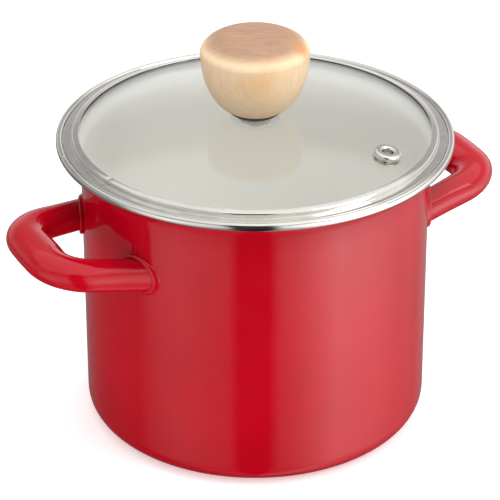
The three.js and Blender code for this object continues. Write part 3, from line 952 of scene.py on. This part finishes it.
def pan_head_screw():
    """A machine screw: pan head with a cross recess below, rolled thread above."""
    head_r = screw_high.x
    head_top = screw_low.z + HEAD_H
    head = [(0, screw_low.z), (head_r - 2.2, screw_low.z), (head_r - 1.2, screw_low.z + 0.25),
            (head_r - 0.45, screw_low.z + 0.8), (head_r, screw_low.z + 1.7),
            (head_r, head_top - 0.1), (head_r - 0.1, head_top), (SCREW_R, head_top)]
    steps = 180
    rings = []
    for j in range(THREAD_TURNS):
        ring = list(head)
        for i in range(1, steps):
            z = head_top + (screw_high.z - head_top) * i / steps
            r = SCREW_R - SCREW_THREAD * thread_cut(z, j / THREAD_TURNS, SCREW_PITCH)
            taper = min(1.0, (screw_high.z - z) / SCREW_PITCH)
            ring.append((r * (0.8 + 0.2 * taper), z))
        ring += [(SCREW_TIP_R, screw_high.z), (0, screw_high.z)]
        rings.append(ring_at(ring, 360 * j / THREAD_TURNS))
    screw = grid_mesh("pan_head_screw", rings, ring_closed=False, rows_closed=True,
                      sharp=THREAD_SHARP_DEG)
    for turn_deg in (0, 90):
        screw = cut(screw, recess_blade(turn_deg))
    screw.shade_smooth()
    screw.set_sharp_from_angle(angle=rad(35))
    return screw


def recess_blade(turn_deg):
    """One tapered blade of the cross recess."""
    # half length, half width and height of the blade's two ends
    levels = [(2.5, 0.55, screw_low.z - 0.5), (1.3, 0.4, screw_low.z + 1.5)]
    turning = Matrix.Rotation(rad(turn_deg), 3, "Z")
    rings = []
    for half_l, half_w, z in levels:
        corners = [(-half_l, -half_w), (half_l, -half_w), (half_l, half_w), (-half_l, half_w)]
        rings.append([turning @ Vector((x, y, z)) for x, y in corners])
    return grid_mesh("recess_blade", rings, capped=True)


# ---------------------------------------------------------------- studio

def direction(azimuth, elevation):
    """Unit vector from the pot towards a place seen at that azimuth and elevation."""
    a, e = rad(azimuth), rad(elevation)
    return Vector((math.sin(a) * math.cos(e), -math.cos(a) * math.cos(e), math.sin(e)))


def make_camera():
    """A long lens aimed at the pot's axis, with its picture shifted slightly sideways."""
    camera = bpy.data.objects.new("camera", bpy.data.cameras.new("camera"))
    aim = Vector((0, 0, CAMERA_AIM_Z))
    out = direction(CAMERA_AZIMUTH, CAMERA_ELEVATION)
    camera.location = (aim + out * CAMERA_DISTANCE) * MM
    camera.rotation_euler = (-out).to_track_quat("-Z", "Y").to_euler()
    camera.data.lens = CAMERA_LENS
    camera.data.sensor_width = 36
    camera.data.shift_x = CAMERA_SHIFT_X
    bpy.context.scene.collection.objects.link(camera)
    bpy.context.scene.camera = camera


def make_floor():
    """A wide, pale, very slightly mottled floor."""
    half_size = 3000
    steps = 12
    across = [half_size * (2 * k / steps - 1) for k in range(steps + 1)]
    rings = [[(x, y, -0.02) for x in across] for y in across]
    mesh = grid_mesh("floor", rings, ring_closed=False)
    material, nodes, shader = new_material("floor")
    mottle = nodes.noise(nodes.place(), 0.004, 2)
    nodes.put(shader.inputs["Base Color"], nodes.ramp(mottle, [(0.3, 0.90), (0.7, 0.92)]))
    shader.inputs["Emission Color"].default_value = (1, 1, 1, 1)
    shader.inputs["Emission Strength"].default_value = 0.45
    shader.inputs["Roughness"].default_value = 0.8
    shader.inputs["Specular IOR Level"].default_value = 0.1
    mesh.materials.append(material)
    floor = bpy.data.objects.new("floor", mesh)
    bpy.context.scene.collection.objects.link(floor)
    floor.visible_glossy = False


LIGHT_AIM = Vector((0, 0, 0.08))


def make_light(name, azimuth, elevation, distance, size, radiance, mirrored=True):
    """A square soft light that faces the pot, in metres, at an azimuth from the camera's side.

    Radiance is relative to the white background. The enamel and the steel show an unmirrored
    light's brightness but not its picture.
    """
    light = bpy.data.lights.new(name, "AREA")
    light.shape = "SQUARE"
    light.size = size
    light.energy = radiance * math.pi * size * size
    lamp = bpy.data.objects.new(name, light)
    out = direction(CAMERA_AZIMUTH + azimuth, elevation)
    lamp.location = LIGHT_AIM + out * distance
    lamp.rotation_euler = (-out).to_track_quat("-Z", "Y").to_euler()
    lamp.visible_camera = False
    lamp.visible_glossy = mirrored
    lamp.visible_transmission = mirrored
    bpy.context.scene.collection.objects.link(lamp)


# Brightness of the studio below the pot's horizon against the azimuth from the camera's side:
# a broad dim panel to the left, a dark gap at the camera and a strong panel to the right.
LOW_PANELS = [(-180, 0.35), (-120, 0.2), (-85, 0.25), (-68, 0.85), (-52, 1.15), (-30, 0.9),
              (-18, 0.75), (-11, 0.05), (5, 0.03), (10, 0.06), (17, 0.95), (28, 1.45), (57, 3.5),
              (75, 2.8), (110, 1.1), (135, 0.5), (180, 0.35)]
# How much of it is left against the sine of the angle below the horizon.
LOW_FADE = [(0.0, 1.0), (0.45, 1.0), (0.53, 0.55), (0.75, 0.3), (1.0, 0.2)]
# Brightness above the horizon against the sine of the elevation: backdrop, gap, overhead panel.
HIGH_PANELS = [(0.0, 1.15), (0.22, 1.05), (0.40, 0.55), (0.56, 0.50), (0.62, 1.15), (1.0, 1.35)]
BRIGHTEST = 4.0


def make_world():
    """The studio's panels as the pot reflects them, and plain white where the camera looks."""
    world = bpy.data.worlds.new("studio")
    world.use_nodes = True
    bpy.context.scene.world = world
    tree = world.node_tree
    tree.nodes.clear()
    nodes = Nodes(tree)
    coordinates = nodes.add("ShaderNodeTexCoord").outputs["Generated"]
    to_camera = nodes.add("ShaderNodeVectorRotate", {"rotation_type": "Z_AXIS"}, Vector=coordinates)
    to_camera.inputs["Angle"].default_value = rad(-CAMERA_AZIMUTH)
    parts = nodes.add("ShaderNodeSeparateXYZ", Vector=to_camera.outputs["Vector"])
    away = nodes.math("MULTIPLY", parts.outputs["Y"], -1.0)
    azimuth = nodes.math("ARCTAN2", parts.outputs["X"], away)
    share = nodes.span(azimuth, -math.pi, math.pi, smooth=False)
    low = nodes.ramp(share, [((at + 180) / 360, value / BRIGHTEST) for at, value in LOW_PANELS])
    low_fade = nodes.ramp(nodes.math("MULTIPLY", parts.outputs["Z"], -1.0), LOW_FADE)
    low = nodes.mix(1.0, low, low_fade, "MULTIPLY")
    high = nodes.ramp(parts.outputs["Z"], [(at, value / BRIGHTEST) for at, value in HIGH_PANELS])
    # dimmer to the left, and dark round the camera up to the overhead panel
    side = nodes.span(parts.outputs["X"], -1.0, 1.0, 0.5, 1.2, False)
    high = nodes.mix(1.0, high, side, "MULTIPLY")
    off_camera = nodes.math("ABSOLUTE", nodes.math("ADD", azimuth, rad(3)))
    beside = nodes.span(off_camera, rad(9), rad(20), 0.05, 1.0)
    above = nodes.span(parts.outputs["Z"], 0.62, 0.75)
    high = nodes.mix(1.0, high, nodes.math("MAXIMUM", beside, above), "MULTIPLY")
    radiance = nodes.mix(nodes.span(parts.outputs["Z"], -0.12, 0.05), low, high)
    panels = nodes.add("ShaderNodeBackground", Color=radiance, Strength=BRIGHTEST)
    white = nodes.add("ShaderNodeBackground", Color=(1, 1, 1, 1), Strength=1.0)
    seen = nodes.add("ShaderNodeLightPath").outputs["Is Camera Ray"]
    nodes.add("ShaderNodeOutputWorld", Surface=nodes.mix_shader(seen, panels, white))


# ---------------------------------------------------------------- assembly

red = red_enamel()
ivory = ivory_enamel()
steel = polished_stainless()
glass = tempered_glass()
wood = beech_wood()
brass = turned_brass()
rubber = soft_material("dark_gasket", dark=(0.05, 0.038, 0.024, 1), light=(0.08, 0.062, 0.042, 1),
                       roughness=(0.5, 0.65), grain=0.8)
silicone = soft_material("clear_silicone", dark=(0.62, 0.62, 0.58, 1), light=(0.70, 0.70, 0.66, 1),
                         roughness=(0.35, 0.5), grain=0.5)

add_piece("enamelled_shell", pot_shell(), red, "red_enamel", "pot", "pot_body")
add_piece("ivory_lining", lining_coat(), ivory, "ivory_enamel", "pot", "enamel_lining")
add_piece("rim_ring", rim_ring(), steel, "polished_stainless", "pot", "rim_band")

for side_name, side_turn in (("right", 0), ("left", 180)):
    loop_name = f"loop_handle_{side_name}"
    loop = loop_handle(loop_name, side_turn)
    add_piece(loop_name, loop, red, "red_enamel", "pot", f"handle_{side_name}")
    for place_name, end_share in (("front", 0), ("back", 1)):
        turned_end = 1 - end_share if side_turn else end_share
        foot_name = f"weld_foot_{side_name}_{place_name}"
        foot = weld_foot(foot_name, side_turn, turned_end)
        foot_node = f"handle_{side_name}_foot_{place_name}"
        add_piece(foot_name, foot, red, "red_enamel", "pot", foot_node)

add_piece("glass_disc", glass_disc(), glass, "tempered_glass", "lid", "lid_glass")
add_piece("lid_ring", lid_ring(), steel, "polished_stainless", "lid", "lid_band")
add_piece("vent_collar", vent_collar(), steel, "polished_stainless", "lid", "vent_eyelet")
add_piece("vent_backing", vent_backing(), steel, "polished_stainless", "lid", "vent_washer")
add_piece("turned_knob", turned_knob(), wood, "beech_wood", "lid", "knob")
add_piece("threaded_insert", threaded_insert(), brass, "brass", "lid", "knob_insert")
knob_seal = washer("knob_seal", "knob_gasket")
add_piece("knob_seal", knob_seal, rubber, "dark_gasket", "lid", "knob_gasket")
screw_sleeve = washer("screw_sleeve", "screw_bush")
add_piece("screw_sleeve", screw_sleeve, silicone, "clear_silicone", "lid", "screw_bush")
inner_seal = washer("inner_seal", "under_gasket", chamfer=0.4)
add_piece("inner_seal", inner_seal, silicone, "clear_silicone", "lid", "under_gasket")
inner_washer = washer("inner_washer", "backing_washer")
add_piece("inner_washer", inner_washer, steel, "polished_stainless", "lid", "backing_washer")
add_piece("pan_head_screw", pan_head_screw(), steel, "polished_stainless", "lid", "knob_screw")

make_floor()
make_camera()
make_world()
make_light("key_light", azimuth=62, elevation=42, distance=1.0, size=0.5, radiance=2.2)
make_light("fill_light", azimuth=-70, elevation=35, distance=1.0, size=0.5, radiance=0.25)
make_light("front_light", azimuth=0, elevation=40, distance=1.1, size=0.6, radiance=1.0,
           mirrored=False)
make_light("back_light", azimuth=170, elevation=50, distance=1.1, size=0.6, radiance=1.0,
           mirrored=False)
make_light("top_light", azimuth=0, elevation=86, distance=1.0, size=0.5, radiance=5.0,
           mirrored=False)
bpy.context.scene.view_settings.view_transform = "Standard"
bpy.context.scene.cycles.use_denoising = True
